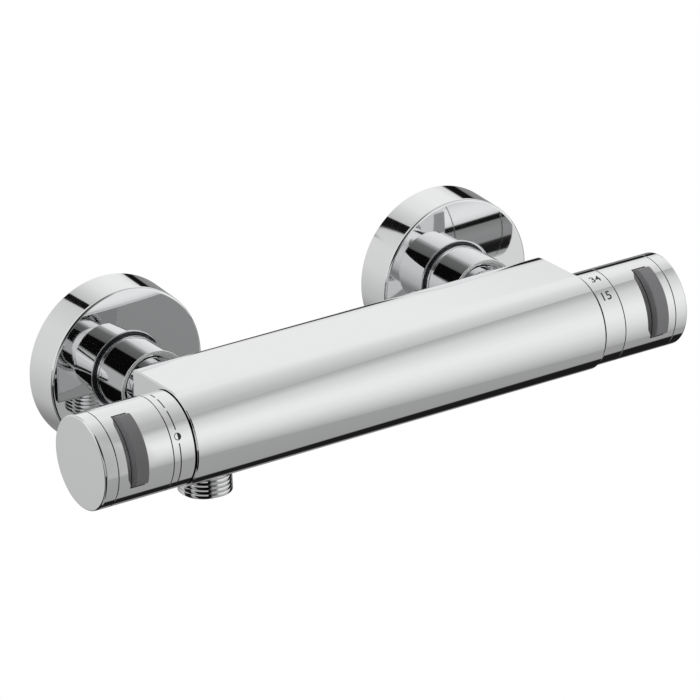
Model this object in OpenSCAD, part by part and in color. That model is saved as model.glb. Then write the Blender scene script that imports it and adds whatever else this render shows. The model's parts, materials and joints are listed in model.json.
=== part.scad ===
// Exposed thermostatic shower valve: a D-section bar with a flow handle on the
// left and a temperature handle on the right, on two wall unions.
// Frame: origin midway between the two wall threads, on the wall's face,
// +X along the bar to the right, +Y into the wall, +Z up.

/* [Bar] */
// Length of the bar between its end faces
bar_length = 184; // [176:1:200]
// Radius of the bar's round front, half the bar's height
bar_radius = 19.2; // [18.4:0.1:21]
// From the bar's axis to its flat rear face
bar_back = 25.3; // [24.5:0.1:28]
// Radius on the two rear edges
rear_edge_radius = 1.2; // [0.6:0.1:2.5]
// Depth of the fine step round each end face
end_step = 0.4; // [0.2:0.1:0.8]
// Bore that carries mixed water to the flow cartridge
mixed_bore_d = 13; // [11:0.5:15]
// Bore that carries hot water along the bar
hot_channel_d = 7.4; // [5:0.2:7.6]
// Hot channel's axis behind the bar's axis
hot_channel_back = 19.4; // [19:0.1:20]
// Bore from the hot channel into the temperature cartridge
hot_port_d = 6; // [4:0.5:6.5]
// Bore from the cold inlet into the temperature cartridge
cold_port_d = 9; // [6:0.5:10]

/* [Wall fixing] */
// Each inlet's axis in from the bar's end face; 17 sets the inlets 150 apart
inlet_inset = 17; // [15.5:0.1:18.5]
// Wall face to the bar's axis
bar_projection = 75.5; // [74:0.5:80]
// Inlet axis above the bar's axis
inlet_rise = 2.7; // [1.5:0.1:3.5]
// How far the nut end of each union hangs below its wall thread
union_offset = 6; // [4:0.5:8]
// Outside diameter of the wall thread and of the outlet thread, G 1/2
half_inch_thread_d = 20.955; // [20.955:0.001:20.956]
// Outside diameter of the union nut thread, G 3/4
nut_thread_d = 26.441; // [26.441:0.001:26.442]
// Length of thread that enters the wall fitting
wall_thread_length = 14; // [12:0.5:18]
// Width of the relief between each thread and its shoulder
thread_relief_width = 1.5; // [1:0.1:2]
// Depth of that relief
thread_relief = 1.2; // [0.8:0.1:1.3]
// Chamfer at the tip of the wall and outlet threads
thread_chamfer = 1; // [0.5:0.1:1.3]
// Thickness of the union's collar on the wall side
union_collar_length = 9; // [7:0.5:10]
// Diameter of the union's collar
union_collar_d = 36; // [35:0.5:40]
// Wall face to the sealing face of the union
union_reach = 26; // [25:0.5:27]
// Waterway through the wall end of the union
union_wall_bore_d = 14; // [12:0.5:15]
// Waterway through the nut end of the union
union_nut_bore_d = 19; // [16:0.5:20]

/* [Union nuts] */
// Outside diameter of the round union nut
nut_d = 29; // [29:0.1:30]
// Length of the union nut
nut_length = 23.5; // [22.5:0.5:24]
// Thickness of the nut's front lip
nut_lip = 4.2; // [3:0.1:4.4]
// Chamfer round the nut's front lip
nut_chamfer = 1.3; // [0.6:0.1:1.6]
// Thickness of the inlet washer
washer_thickness = 2; // [1.5:0.1:2.5]
// Bore of the inlet washer
washer_bore_d = 15; // [13:0.5:17]

/* [Roses] */
// Diameter of the rose at its front face
rose_front_d = 66.2; // [60:0.2:72]
// Diameter of the rose at the wall
rose_back_d = 68; // [66.4:0.2:74]
// Depth of the rose from the wall
rose_depth = 16.3; // [15:0.1:18]
// Wall thickness of the rose
rose_wall = 1.3; // [0.8:0.1:1.6]
// Rounding of the rose's front edge
rose_edge_radius = 1.1; // [0.5:0.1:1.2]
// Gap between the nut and the edge of the rose's hole
rose_hole_gap = 0.9; // [0.7:0.1:1.6]
// Chamfer round the rose's hole
rose_hole_chamfer = 0.4; // [0.2:0.1:0.6]
// Depth of the collar turned in behind the hole
rose_collar_depth = 3.4; // [3:0.1:3.6]

/* [Inlet spigots] */
// Outside diameter of the plain part of the spigot
spigot_d = 22.8; // [22:0.1:23]
// Diameter of the flange that the nut pulls on
spigot_flange_d = 25.2; // [24.4:0.1:25.6]
// Thickness of that flange
spigot_flange = 3.5; // [3:0.1:3.8]
// Metal left between the spigot's thread and the mouth or pocket behind it
spigot_clear = 0.3; // [0.2:0.1:1]
// Waterway at the bar end of the spigot
spigot_bore_d = 15; // [12:0.5:15.5]

/* [Check valves] */
// Outside diameter of the check valve housing
check_d = 18.4; // [17.5:0.1:18.6]
// Length of the check valve housing
check_length = 16; // [14:0.5:17]
// Wall of the check valve housing
check_wall = 1.4; // [1:0.1:1.6]
// Thickness of its seat and of its rear spider
check_end = 2; // [1.5:0.1:2.5]
// Bore of its seat
check_seat_d = 11; // [9:0.5:11.5]
// Diameter of the poppet's head
poppet_d = 13.2; // [12.4:0.1:13.6]
// Thickness of the poppet's head
poppet_head = 1.7; // [1.2:0.1:2.2]
// Diameter of the poppet's stem
poppet_stem_d = 3; // [2.5:0.1:3.4]
// How far the poppet opens
poppet_lift = 3; // [2:0.5:3.5]
// Length of poppet stem behind the spider
poppet_tail = 1.6; // [1:0.1:2]

/* [Outlet] */
// Outlet axis in from the bar's left end face
outlet_inset = 20.6; // [19:0.1:22]
// Outlet axis behind the bar's axis
outlet_back = 12; // [11:0.1:13]
// How far the outlet stands out below the bar
outlet_drop = 11.8; // [9.5:0.1:14]
// Length of outlet thread screwed into the bar
outlet_insert = 5.8; // [4.5:0.1:6]
// Waterway through the outlet
outlet_bore_d = 15; // [12:0.5:16]
// Bore from the flow cartridge down to the outlet
outlet_port_d = 9; // [7:0.5:10]

/* [Cartridges] */
// Diameter of the pocket for the flow cartridge
flow_pocket_d = 24; // [23.6:0.1:24.4]
// Depth of the pocket for the flow cartridge
flow_pocket_depth = 30; // [29:0.5:32]
// Diameter of the pocket for the temperature cartridge
heat_pocket_d = 29; // [28:0.1:29.4]
// Depth of the pocket for the temperature cartridge
heat_pocket_depth = 46; // [45.5:0.5:48]
// Diameter of the threaded mouth that takes each gland nut
gland_d = 31.2; // [30.4:0.1:31.8]
// Depth of that mouth
gland_depth = 8; // [7:0.5:8.5]
// Height of the gland nut's flange outside the bar
gland_flange = 3; // [2:0.1:3.2]
// Diameter of the gland nut's flange
gland_flange_d = 28; // [26:0.2:28.6]
// Diameter of the neck that stands out of each gland nut
neck_d = 18; // [17.6:0.1:19]
// How far each neck stands out of the bar
neck_out = 8; // [7.6:0.1:9]
// Diameter of the plain part of the spindles
spindle_d = 9; // [8:0.1:9.6]
// How far each spindle stands out of the bar
spindle_out = 18; // [17:0.5:18.5]
// Length of the splined end of each spindle
spline_length = 8.6; // [7:0.1:8.8]
// Diameter over the spline's teeth
spline_d = 9.4; // [9:0.1:9.8]
// Number of spline teeth
spline_teeth = 20; // [12:1:28]

/* [Flow cartridge] */
// Thickness of the gasket under the flow cartridge
gasket_thickness = 1.5; // [1:0.1:2]
// Thickness of each ceramic disc
disc_thickness = 3; // [2:0.1:3.4]
// Diameter of the turning ceramic disc
disc_d = 20.6; // [19.6:0.1:20.8]
// Thickness of the driver that turns the disc
driver_thickness = 3.4; // [2.6:0.1:4]
// Angle of the half-moon window in each disc
disc_window_angle = 150; // [120:5:165]
// Inner radius of those windows
disc_window_inner = 3.2; // [2.6:0.1:4]
// Outer radius of those windows
disc_window_outer = 8.2; // [7:0.1:8.6]

/* [Temperature cartridge] */
// Bore that the shuttle slides in
shuttle_bore_d = 21; // [20:0.1:22]
// Length of the shuttle
shuttle_length = 15.8; // [15.4:0.1:16.2]
// Wall of the shuttle
shuttle_wall = 1.5; // [1.2:0.1:1.8]
// Opening of the hot and the cold gap with the shuttle in mid travel
shuttle_gap = 1.3; // [1.25:0.05:1.5]
// Diameter of the wax element's bulb
bulb_d = 9.2; // [8:0.1:10]
// Length of the wax element's bulb
bulb_length = 14; // [10:0.5:16]
// Diameter of the wax element's flange
element_flange_d = 15; // [14:0.1:15.6]
// Diameter of the wax element's guide
element_guide_d = 8; // [7:0.1:8.6]
// Diameter of the wax element's pin
element_pin_d = 3; // [2.4:0.1:3.6]
// Outside diameter of the adjusting screw
screw_d = 9.8; // [9:0.1:10.4]
// Width across flats of the key that stops the screw turning
key_width = 17; // [16.8:0.1:17.4]
// Thickness of that key
key_thickness = 3; // [2.4:0.1:3.2]
// Wire diameter of the return spring
return_wire_d = 1.2; // [0.8:0.1:1.4]
// Wire diameter of the overload spring
overload_wire_d = 1; // [0.8:0.1:1.1]

/* [Handles] */
// Length of each handle with its dial ring and end cap
handle_length = 39; // [36:0.5:44]
// How much smaller the handle's radius is than the bar's
handle_inset = 0.8; // [0.4:0.1:1]
// Running gap between bar and dial ring
ring_gap = 0.55; // [0.4:0.05:0.9]
// Width of the dial ring
ring_width = 9.1; // [8:0.1:10]
// Wall of the dial ring
ring_wall = 1.8; // [1.2:0.1:1.9]
// Wall of the handle
handle_wall = 2; // [1.8:0.1:2.2]
// Wall of the handle's sleeve inside the dial ring
sleeve_wall = 1.4; // [1:0.1:1.5]
// Height of the end cap's rim
cap_height = 5.6; // [4:0.1:7]
// Thickness of the end cap's face
cap_face = 1.8; // [1.2:0.1:2.4]
// Rounding of the end cap's edge
cap_edge_radius = 0.8; // [0.4:0.1:1.5]
// Hairline joint between ring, handle and cap
joint_line = 0.12; // [0.05:0.01:0.2]
// Fine chamfer at the edges of ring, handle and cap
edge_chamfer = 0.25; // [0.1:0.05:0.4]
// Thickness of the web inside the handle
web_thickness = 2.5; // [2:0.1:3]
// Range of the flow handle each way from the half-open position
flow_turn = 90; // [80:1:95]
// Range of the temperature handle each way from mid setting
heat_turn = 130; // [120:1:135]

/* [Grips] */
// Width of the raised grip along the bar
grip_width = 5.8; // [5:0.1:7.5]
// Height of the grip's middle above the handle
grip_height = 3.7; // [2.5:0.1:4.5]
// Middle of the grip in from the end cap's face
grip_inset = 14; // [13:0.1:16]
// Half the angle that the grip spans at its base
grip_half_angle = 46.5; // [35:0.5:55]
// How far the grip's ends lean in, as an angle
grip_end_lean = 46; // [20:1:50]
// Height of the grip's middle above straight ahead, as an angle
grip_tilt = 25; // [10:0.5:45]
// Depth of the seat that the grip is let into
grip_seat = 0.8; // [0.5:0.1:0.9]
// Joint line all round the grip
grip_joint = 0.2; // [0.1:0.05:0.3]
// Chamfer along the grip's outer edges
grip_chamfer = 0.4; // [0.2:0.1:0.8]

/* [Fits] */
// Radial gap of screwed and pressed pieces, and under the grip
fit_gap = 0.05; // [0.03:0.01:0.08]
// Radial gap where one piece turns or slides in another
run_gap = 0.06; // [0.03:0.01:0.09]
// Gap between pieces that move past each other
free_gap = 0.3; // [0.25:0.05:0.4]

/* [Hidden] */
$fn = 64;
over = 0.5;
unit_turn = 360;

// Places of the main axes
inlet_spacing = bar_length - 2 * inlet_inset;
outlet_left = bar_length / 2 - outlet_inset;
inlet_z = -union_offset;
bar_z = inlet_z - inlet_rise;

// Inlet stack, as distances from the wall
washer_front = union_reach + washer_thickness;
flange_front = washer_front + spigot_flange;
nut_front = flange_front + free_gap + nut_lip;
nut_back = nut_front - nut_length;
bar_rear = bar_projection - bar_back;
spigot_thread_length = bar_back - max(gland_d, heat_pocket_d) / 2 - spigot_clear;
spigot_end = bar_rear + spigot_thread_length;
check_inset = 1;
check_back = washer_front + check_inset;
check_front = check_back + check_length;
check_bore_r = check_d / 2 + fit_gap;
rose_hole_r = nut_d / 2 + rose_hole_gap;
rose_collar_wall = 1.1;

// Poppet at rest against its seat
poppet_back = check_back + check_end + free_gap;
spider_back = check_front - check_end;
poppet_end = check_front + poppet_tail;
spider_hub_r = poppet_stem_d / 2 + check_wall;
spider_arm = 1.6;
spider_arms = 3;
check_wire_d = 0.7;
check_turns = 5;

// Flow cartridge, as distances out from the bar's end face
running_face = 0.1;
gasket_front = gasket_thickness - flow_pocket_depth;
fixed_front = gasket_front + disc_thickness;
moving_back = fixed_front + running_face;
moving_front = moving_back + disc_thickness;
driver_front = moving_front + driver_thickness;
chamber_front = driver_front + free_gap;
chamber_r = disc_d / 2 + free_gap;
flow_window = driver_thickness + free_gap;
tang_r = 1.2;
tang_depth = 1.4;
tang_margin = 1;
tang_place = disc_d / 2 - tang_r - tang_margin;

// Temperature cartridge, as distances out from the bar's end face
heat_back = -heat_pocket_depth;
seat_wall = 1.9;
seat_floor = 2;
seat_length = 7.4;
hot_seat_front = heat_back + seat_length;
shuttle_back = hot_seat_front + shuttle_gap;
shuttle_front = shuttle_back + shuttle_length;
cold_seat = shuttle_front + shuttle_gap;
element_set = 1.6;
element_back = shuttle_back + element_set;
element_flange = 2;
guide_length = 7;
shuttle_web = 2;
web_back = element_back + element_flange;
screw_lead = 3;
screw_travel = screw_lead * heat_turn / unit_turn;
key_back = cold_seat + screw_travel - running_face;
key_front = key_back + key_thickness;
spindle_back = key_front + screw_travel + free_gap;
spindle_flange = 1.5;
spindle_flange_r = 8.2;
spindle_cup_d = 14;
screw_length = 15.5;
screw_front = key_front + screw_length;
cup_wall = 1.4;
cup_r = screw_d / 2 - cup_wall;
cup_hat = 4;
cup_reach = 2.5;
cup_back = key_back - cup_reach;
cup_front = cup_back + cup_hat;
pin_front = cup_back;
screw_floor = 1.2;
annulus_depth = 1.8;
seal_wire = 1.8;
seal_lift = 0.1;
flow_seal_place = -gland_depth - seal_wire * 3 / 2;
slot_count = 6;
slot_width = 5;
hot_slot_half = 1.9;
cold_slot_half = 1.9;
hot_annulus_half = 3.4;
hot_port_place = hot_seat_front + shuttle_gap / 2;
cold_inlet_place = -inlet_inset;
cold_annulus_half = cold_port_d / 2 + seal_lift;
heat_r = heat_pocket_d / 2 - fit_gap;
heat_seal_places = [
    heat_back + seal_wire,
    (hot_port_place + hot_annulus_half + cold_inlet_place - cold_annulus_half) / 2,
    -gland_depth - seal_wire * 3 / 4];

// Handles, as distances out from the bar's end face
handle_r = bar_radius - handle_inset;
ring_front = ring_gap + ring_width;
handle_back = ring_front + joint_line;
cap_back = handle_length - cap_height;
grip_place = handle_length - grip_inset;
handle_front = cap_back - joint_line;
ring_bore_r = handle_r - ring_wall;
sleeve_back = ring_gap + free_gap;
sleeve_r = ring_bore_r - fit_gap;
bore_r = handle_r - handle_wall;
stop_base = 2.5;
stop_lug_height = 2.5;
stop_back = gland_flange;
stop_front = stop_back + stop_base;
stop_lug_front = stop_front + stop_lug_height;
stop_r = 13.4;
stop_lug_inner = 10.8;
insert_lug_angle = 30;
stop_margin = 2;
insert_lug_back = stop_front + free_gap;
clip_back = neck_out + running_face;
clip_thickness = 0.8;
clip_r = 7.2;
web_back_place = spindle_out;
web_front = web_back_place + web_thickness;
insert_flange = 2.5;
insert_flange_r = stop_r;
insert_flange_back = web_back_place - insert_flange;
insert_hub_back = clip_back + clip_thickness + free_gap;
insert_hub_r = 7.4;
insert_hex = 14;
spline_bore_r = spline_d / 2 + fit_gap;
spline_depth = 0.4;
screw_hole_r = 2.1;
handle_screw_d = 4;
handle_screw_head_r = 3.8;
handle_screw_head = 2.6;
handle_screw_reach = 8;
driver_slot = 2.5;
driver_slot_depth = 1.3;
skirt_depth = 4;
skirt_wall = 1.4;

// Frames
module at_inlet(side) {
    translate([side * inlet_spacing / 2, 0, inlet_z]) rotate([90, 0, 0]) children();
}
module on_side(side) {
    mirror([side < 0 ? 1 : 0, 0, 0])
        translate([bar_length / 2, -bar_projection, bar_z])
            rotate([0, 90, 0]) rotate([0, 0, -90]) children();
}
module raised(up) { rotate([0, 0, -up]) children(); }

// Shared shapes
module rod(r, from, to) { translate([0, 0, from]) cylinder(r = r, h = to - from); }
module tube(r_out, r_in, from, to) {
    difference() {
        rod(r_out, from, to);
        rod(r_in, from - over, to + over);
    }
}
module hex_rod(width, from, to) {
    translate([0, 0, from]) cylinder(r = width / 2 / cos(30), h = to - from, $fn = 6);
}
module wedge(r, half_angle, from, to) {
    steps = 6;
    translate([0, 0, from]) linear_extrude(to - from)
        polygon(concat([[0, 0]], [for (i = [0:steps])
            let(a = half_angle * (2 * i / steps - 1)) [r * cos(a), r * sin(a)]]));
}
module arc_block(r_out, r_in, half_angle, from, to) {
    intersection() {
        tube(r_out, r_in, from, to);
        wedge(r_out * 2, half_angle, from - over, to + over);
    }
}
module o_ring(r_mid, wire, place) {
    translate([0, 0, place]) rotate_extrude() translate([r_mid, 0]) circle(d = wire);
}
module chamfered_tube(r_out, r_in, from, to, cut) {
    rotate_extrude() polygon([
        [r_in, from], [r_out - cut, from], [r_out, from + cut],
        [r_out, to - cut], [r_out - cut, to], [r_in, to]]);
}
// A round wire wound at an even pitch between two faces
module spring(r_mid, wire, turns, from, to) {
    sides = 6;
    rings_a_turn = 14;
    rings = turns * rings_a_turn;
    low = from + wire / 2;
    high = to - wire / 2;
    points = [for (i = [0:rings], k = [0:sides - 1])
        let(a = unit_turn * i / rings_a_turn, b = unit_turn * k / sides,
            r = r_mid + wire / 2 * cos(b))
        [r * cos(a), r * sin(a), low + (high - low) * i / rings + wire / 2 * sin(b)]];
    function at(i, k) = i * sides + k % sides;
    walls = [for (i = [0:rings - 1], k = [0:sides - 1], half = [0, 1])
        half == 0 ? [at(i, k), at(i, k + 1), at(i + 1, k + 1)]
                  : [at(i, k), at(i + 1, k + 1), at(i + 1, k)]];
    start_face = [for (k = [sides - 1:-1:0]) at(0, k)];
    end_face = [for (k = [0:sides - 1]) at(rings, k)];
    polyhedron(points = points, faces = concat([start_face], walls, [end_face]));
}

// Bar
module d_section(inset) {
    r = bar_radius - inset;
    back = bar_back - inset;
    e = rear_edge_radius;
    union() {
        circle(r = r);
        translate([0, -r]) square([back - e, 2 * r]);
        translate([0, e - r]) square([back, 2 * (r - e)]);
        for (s = [-1, 1]) translate([back - e, s * (r - e)]) circle(r = e);
    }
}
module d_bar(length, inset) {
    translate([-length / 2, 0, 0]) rotate([90, 0, 90]) linear_extrude(length)
        d_section(inset);
}
module bar_body() {
    thread_r = half_inch_thread_d / 2 + fit_gap;
    color("gainsboro") difference() {
        translate([0, -bar_projection, bar_z]) union() {
            d_bar(bar_length, end_step);
            d_bar(bar_length - 2 * end_step, 0);
        }
        // Pockets and mouths
        on_side(-1) rod(flow_pocket_d / 2, -flow_pocket_depth, over);
        on_side(1) rod(heat_pocket_d / 2, -heat_pocket_depth, over);
        for (s = [-1, 1]) on_side(s) rod(gland_d / 2, -gland_depth, over);
        // Mixed water bore
        on_side(1) rod(mixed_bore_d / 2, flow_pocket_depth - bar_length - over, over);
        // Inlets
        for (s = [-1, 1]) at_inlet(s)
            rod(thread_r, bar_rear - over, spigot_end + fit_gap);
        // Hot channel, from the left inlet to the hot port
        translate([-inlet_spacing / 2, hot_channel_back - bar_projection, inlet_z])
            rotate([0, 90, 0])
                rod(hot_channel_d / 2, 0,
                    inlet_spacing / 2 + bar_length / 2 + hot_port_place + hot_port_d / 2);
        translate([bar_length / 2 + hot_port_place, -bar_projection, inlet_z])
            rotate([-90, 0, 0]) rod(hot_port_d / 2, heat_pocket_d / 4, hot_channel_back);
        // Cold port
        translate([inlet_spacing / 2, -bar_projection, inlet_z])
            rotate([-90, 0, 0])
                rod(cold_port_d / 2, heat_pocket_d / 4, bar_back - spigot_thread_length);
        // Outlet
        translate([-outlet_left, outlet_back - bar_projection, bar_z - bar_radius])
            rod(thread_r, -over, outlet_insert + fit_gap);
        translate([-outlet_left, outlet_back / 2 - bar_projection, bar_z - bar_radius])
            rod(outlet_port_d / 2, outlet_insert, bar_radius - outlet_port_d);
    }
}
// A round pipe end that points down, with its thread between a relief and a chamfer
module pipe_end(reach, root) {
    thread_r = half_inch_thread_d / 2;
    rotate_extrude() polygon([
        [0, -reach], [thread_r - thread_chamfer, -reach],
        [thread_r, thread_chamfer - reach], [thread_r, -thread_relief_width],
        [thread_r - thread_relief, -thread_relief_width],
        [thread_r - thread_relief, root], [0, root]]);
}
module outlet_nipple() {
    color("silver")
        translate([-outlet_left, outlet_back - bar_projection, bar_z - bar_radius])
            difference() {
                union() {
                    pipe_end(outlet_drop, outlet_insert);
                    rod(half_inch_thread_d / 2, 0, outlet_insert);
                }
                rod(outlet_bore_d / 2, -outlet_drop - over, outlet_insert + over);
            }
}
module outlet_seal() {
    color("dimgray")
        translate([-outlet_left, outlet_back - bar_projection, bar_z - bar_radius])
            tube(half_inch_thread_d / 2 - fit_gap,
                half_inch_thread_d / 2 - thread_relief + fit_gap,
                -seal_lift - seal_wire / 2, 0);
}

// Wall unions, roses and nuts
module wall_union(side) {
    color("silver") at_inlet(side) difference() {
        union() {
            translate([0, union_offset, 0])
                pipe_end(wall_thread_length, union_collar_length / 2);
            translate([0, union_offset / 2, 0])
                rod(union_collar_d / 2, 0, union_collar_length);
            rod(nut_thread_d / 2, union_collar_length / 2, union_reach);
        }
        translate([0, union_offset, 0])
            rod(union_wall_bore_d / 2, -wall_thread_length - over, union_collar_length * 2 / 3);
        rod(union_nut_bore_d / 2, union_collar_length / 3, union_reach + over);
    }
}
module rose(side) {
    front_r = rose_front_d / 2;
    back_r = rose_back_d / 2;
    e = rose_edge_radius;
    color("silver") at_inlet(side) rotate_extrude() difference() {
        union() {
            polygon([
                [rose_hole_r, 0], [back_r, 0], [front_r, rose_depth - e],
                [front_r - e, rose_depth - e], [front_r - e, rose_depth],
                [rose_hole_r + rose_hole_chamfer, rose_depth],
                [rose_hole_r, rose_depth - rose_hole_chamfer]]);
            translate([front_r - e, rose_depth - e]) circle(r = e);
        }
        polygon([
            [rose_hole_r + rose_collar_wall, -over], [back_r - rose_wall, -over],
            [back_r - rose_wall, 0],
            [front_r - rose_wall - rose_wall, rose_depth - rose_wall],
            [rose_hole_r + rose_collar_wall, rose_depth - rose_wall]]);
        polygon([
            [0, -over], [rose_hole_r + rose_collar_wall + fit_gap, -over],
            [rose_hole_r + rose_collar_wall + fit_gap, rose_depth - rose_collar_depth],
            [0, rose_depth - rose_collar_depth]]);
    }
}
module rose_ring(side) {
    color("dimgray") at_inlet(side)
        tube(rose_hole_r - fit_gap, nut_d / 2 + fit_gap,
            rose_depth - rose_collar_depth + seal_lift, rose_depth - rose_wall);
}
module union_nut(side) {
    lip_r = spigot_d / 2 + free_gap;
    thread_r = nut_thread_d / 2 + fit_gap;
    color("silver") at_inlet(side) rotate_extrude() polygon([
        [thread_r, nut_back], [nut_d / 2, nut_back],
        [nut_d / 2, nut_front - nut_chamfer], [nut_d / 2 - nut_chamfer, nut_front],
        [lip_r, nut_front], [lip_r, nut_front - nut_lip],
        [thread_r, nut_front - nut_lip]]);
}
module inlet_washer(side) {
    color("dimgray") at_inlet(side)
        tube(spigot_flange_d / 2, washer_bore_d / 2, union_reach, washer_front);
}
module spigot(side) {
    color("silver") at_inlet(side) difference() {
        union() {
            rod(spigot_flange_d / 2, washer_front, flange_front);
            rod(spigot_d / 2, washer_front, bar_rear);
            rod(half_inch_thread_d / 2, washer_front, spigot_end);
        }
        rod(check_bore_r, washer_front - over, check_front);
        rod(spigot_bore_d / 2, washer_front, spigot_end + over);
    }
}
module check_housing(side) {
    color("whitesmoke") at_inlet(side) difference() {
        union() {
            tube(check_d / 2, check_d / 2 - check_wall, check_back, check_front);
            rod(check_d / 2 - check_wall / 2, check_back, check_back + check_end);
            rod(spider_hub_r, spider_back, check_front);
            for (i = [0:spider_arms - 1]) rotate([0, 0, unit_turn * i / spider_arms])
                translate([0, -spider_arm / 2, spider_back])
                    cube([check_d / 2 - check_wall / 2, spider_arm, check_end]);
        }
        rod(check_seat_d / 2, check_back - over, check_back + check_end + over);
        rod(poppet_stem_d / 2 + run_gap, spider_back - over, check_front + over);
    }
}
module check_poppet(side) {
    color("white") at_inlet(side) union() {
        rod(poppet_d / 2, poppet_back, poppet_back + poppet_head);
        rod(poppet_stem_d / 2, poppet_back, poppet_end);
    }
}
module check_spring(side) {
    color("silver") at_inlet(side)
        spring(spider_hub_r - check_wire_d / 2 + spider_arm / 2, check_wire_d, check_turns,
            poppet_back + poppet_head + running_face, spider_back - running_face);
}
module left_wall_union() { wall_union(-1); }
module right_wall_union() { wall_union(1); }
module left_rose() { rose(-1); }
module right_rose() { rose(1); }
module left_rose_ring() { rose_ring(-1); }
module right_rose_ring() { rose_ring(1); }
module left_union_nut() { union_nut(-1); }
module right_union_nut() { union_nut(1); }
module left_inlet_washer() { inlet_washer(-1); }
module right_inlet_washer() { inlet_washer(1); }
module left_spigot() { spigot(-1); }
module right_spigot() { spigot(1); }
module left_check_housing() { check_housing(-1); }
module right_check_housing() { check_housing(1); }
module left_check_poppet() { check_poppet(-1); }
module right_check_poppet() { check_poppet(1); }
module left_check_spring() { check_spring(-1); }
module right_check_spring() { check_spring(1); }

// Pieces shared by both cartridges
module gland_nut(side) {
    slots = 4;
    slot = gland_flange;
    color("goldenrod") on_side(side) difference() {
        union() {
            rod(gland_d / 2 - fit_gap, -gland_depth, 0);
            rod(gland_flange_d / 2, -gland_depth, gland_flange);
        }
        rod(neck_d / 2 + fit_gap, -gland_depth - over, gland_flange + over);
        for (i = [0:slots - 1]) rotate([0, 0, unit_turn * (i + 1 / 2) / slots])
            translate([gland_flange_d / 2 - slot / 2, -slot / 2, gland_flange / 3])
                cube([slot, slot, gland_flange]);
    }
}
module clip(side) {
    slot = spindle_d * 2 / 3;
    color("silver") on_side(side) difference() {
        tube(clip_r, spindle_d / 2 + fit_gap, clip_back, clip_back + clip_thickness);
        translate([0, -slot / 2, clip_back - over])
            cube([clip_r + over, slot, clip_thickness + 2 * over]);
    }
}
module stop_ring(side, turn) {
    lug_half = (unit_turn - insert_lug_angle) / 2 - turn - stop_margin;
    color("black") on_side(side) union() {
        tube(stop_r, neck_d / 2 + fit_gap, stop_back, stop_front);
        rotate([0, 0, unit_turn / 2])
            arc_block(stop_r, stop_lug_inner, lug_half, stop_front - over, stop_lug_front);
    }
}
module spline_section() {
    polygon([for (i = [0:2 * spline_teeth - 1])
        let(a = unit_turn * i / (2 * spline_teeth),
            r = spline_d / 2 - (i % 2 == 0 ? 0 : spline_depth)) [r * cos(a), r * sin(a)]]);
}
module spindle_nose() {
    translate([0, 0, spindle_out - spline_length]) linear_extrude(spline_length) spline_section();
}

// Flow cartridge
module flow_gasket() {
    color("dimgray") on_side(-1)
        tube(flow_pocket_d / 2 - fit_gap, mixed_bore_d / 2, -flow_pocket_depth, gasket_front);
}
module disc_window(from, to) {
    arc_block(disc_window_outer, disc_window_inner, disc_window_angle / 2, from, to);
}
module flow_fixed_disc() {
    color("ivory") on_side(-1) difference() {
        rod(chamber_r - fit_gap, gasket_front, fixed_front);
        rotate([0, 0, -unit_turn / 4]) disc_window(gasket_front - over, fixed_front + over);
    }
}
module flow_moving_disc() {
    color("ivory") on_side(-1) difference() {
        rod(disc_d / 2, moving_back, moving_front);
        disc_window(moving_back - over, moving_front + over);
        for (s = [-1, 1]) rotate([0, 0, unit_turn / 2 + s * insert_lug_angle])
            translate([tang_place, 0, 0])
                rod(tang_r + fit_gap, moving_front - tang_depth - fit_gap, moving_front + over);
    }
}
module flow_housing() {
    windows = 4;
    body_r = flow_pocket_d / 2 - fit_gap;
    color("goldenrod") on_side(-1) difference() {
        union() {
            rod(body_r, gasket_front, -gland_depth);
            rod(neck_d / 2, gasket_front, neck_out);
        }
        rod(chamber_r, gasket_front - over, chamber_front);
        rod(spindle_d / 2 + run_gap, gasket_front, neck_out + over);
        for (i = [0:windows - 1]) rotate([0, 0, unit_turn * i / windows])
            translate([0, -slot_width / 2, moving_front])
                cube([flow_pocket_d, slot_width, flow_window]);
        tube(flow_pocket_d, body_r - seal_wire / 2, flow_seal_place - seal_wire * 2 / 3,
            flow_seal_place + seal_wire * 2 / 3);
    }
}
module flow_seals() {
    body_r = flow_pocket_d / 2 - fit_gap;
    color("dimgray") on_side(-1)
        tube(flow_pocket_d / 2 - fit_gap / 2, body_r - seal_wire / 2 + fit_gap,
            flow_seal_place - seal_wire / 2, flow_seal_place + seal_wire / 2);
}
module flow_spindle() {
    color("silver") on_side(-1) difference() {
        union() {
            rod(disc_d / 2 - free_gap, moving_front + fit_gap, driver_front);
            rod(spindle_d / 2, moving_front + fit_gap, spindle_out - spline_length);
            spindle_nose();
            for (s = [-1, 1]) rotate([0, 0, unit_turn / 2 + s * insert_lug_angle])
                translate([tang_place, 0, 0]) rod(tang_r, moving_front - tang_depth, driver_front);
        }
        intersection() {
            tube(disc_window_outer, spindle_d / 2, moving_front - over, driver_front + over);
            wedge(disc_d, disc_window_angle / 2, moving_front - over, driver_front + over);
        }
        rod(handle_screw_d / 2 + fit_gap, spindle_out - handle_screw_reach, spindle_out + over);
    }
}
module flow_clip() { clip(-1); }
module flow_gland_nut() { gland_nut(-1); }
module flow_stop_ring() { stop_ring(-1, flow_turn); }

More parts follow.
